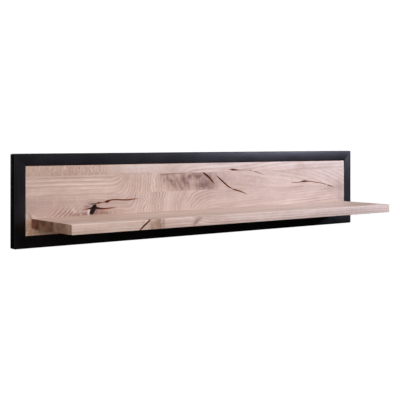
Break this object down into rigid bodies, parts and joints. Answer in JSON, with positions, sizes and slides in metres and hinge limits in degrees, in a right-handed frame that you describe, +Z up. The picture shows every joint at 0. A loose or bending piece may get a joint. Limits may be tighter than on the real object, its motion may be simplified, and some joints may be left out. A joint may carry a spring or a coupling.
{
  "type": "wall shelf with framed back panel",
  "caption": "Wall board of oak: a black lacquered mitred frame round a glued-up oak back panel that carries an oak shelf, hung on hidden keyhole plates.",
  "frame": {"origin": "on the frame's back face, which lies on the wall, at mid width and on the centre line of the top rail, level with the two keyhole hangers", "axes": "+X to the right seen from the room, +Y into the wall, +Z up"},
  "size_m": [1.4, 0.265, 0.276],
  "materials": {
    "black_lacquer": "satin lacquer on a smooth ground",
    "oak_panel": "oiled knotty oak with filled cracks",
    "oak_shelf": "oiled knotty oak, end grain on the short ends",
    "beech": "raw turned and pressed beech",
    "zinc_plate": "zinc plated",
    "screw_steel": "yellow passivated"
  },
  "bodies": {
    "root": {"frame_bottom_rail": "black_lacquer", "frame_left_stile": "black_lacquer", "frame_right_stile": "black_lacquer", "frame_top_rail": "black_lacquer", "hanger_plate_left": "zinc_plate", "hanger_plate_right": "zinc_plate", "hanger_screw_left_1": "screw_steel", "hanger_screw_left_2": "screw_steel", "hanger_screw_right_1": "screw_steel", "hanger_screw_right_2": "screw_steel", "mitre_biscuit_bottom_left": "beech", "mitre_biscuit_bottom_right": "beech", "mitre_biscuit_top_left": "beech", "mitre_biscuit_top_right": "beech", "panel_screw_bottom_1": "screw_steel", "panel_screw_bottom_2": "screw_steel", "panel_screw_bottom_3": "screw_steel", "panel_screw_bottom_4": "screw_steel", "panel_screw_left": "screw_steel", "panel_screw_right": "screw_steel", "panel_screw_top_1": "screw_steel", "panel_screw_top_2": "screw_steel", "panel_screw_top_3": "screw_steel", "panel_screw_top_4": "screw_steel", "panel_stave_1": "oak_panel", "panel_stave_2": "oak_panel", "panel_stave_3": "oak_panel", "panel_stave_4": "oak_panel", "shelf_dowel_1": "beech", "shelf_dowel_2": "beech", "shelf_dowel_3": "beech", "shelf_dowel_4": "beech", "shelf_dowel_5": "beech", "shelf_screw_1": "screw_steel", "shelf_screw_2": "screw_steel", "shelf_screw_3": "screw_steel", "shelf_screw_4": "screw_steel", "shelf_screw_5": "screw_steel", "shelf_screw_6": "screw_steel", "shelf_stave_1": "oak_shelf", "shelf_stave_2": "oak_shelf", "shelf_stave_3": "oak_shelf", "shelf_stave_4": "oak_shelf"}
  },
  "joints": []
}
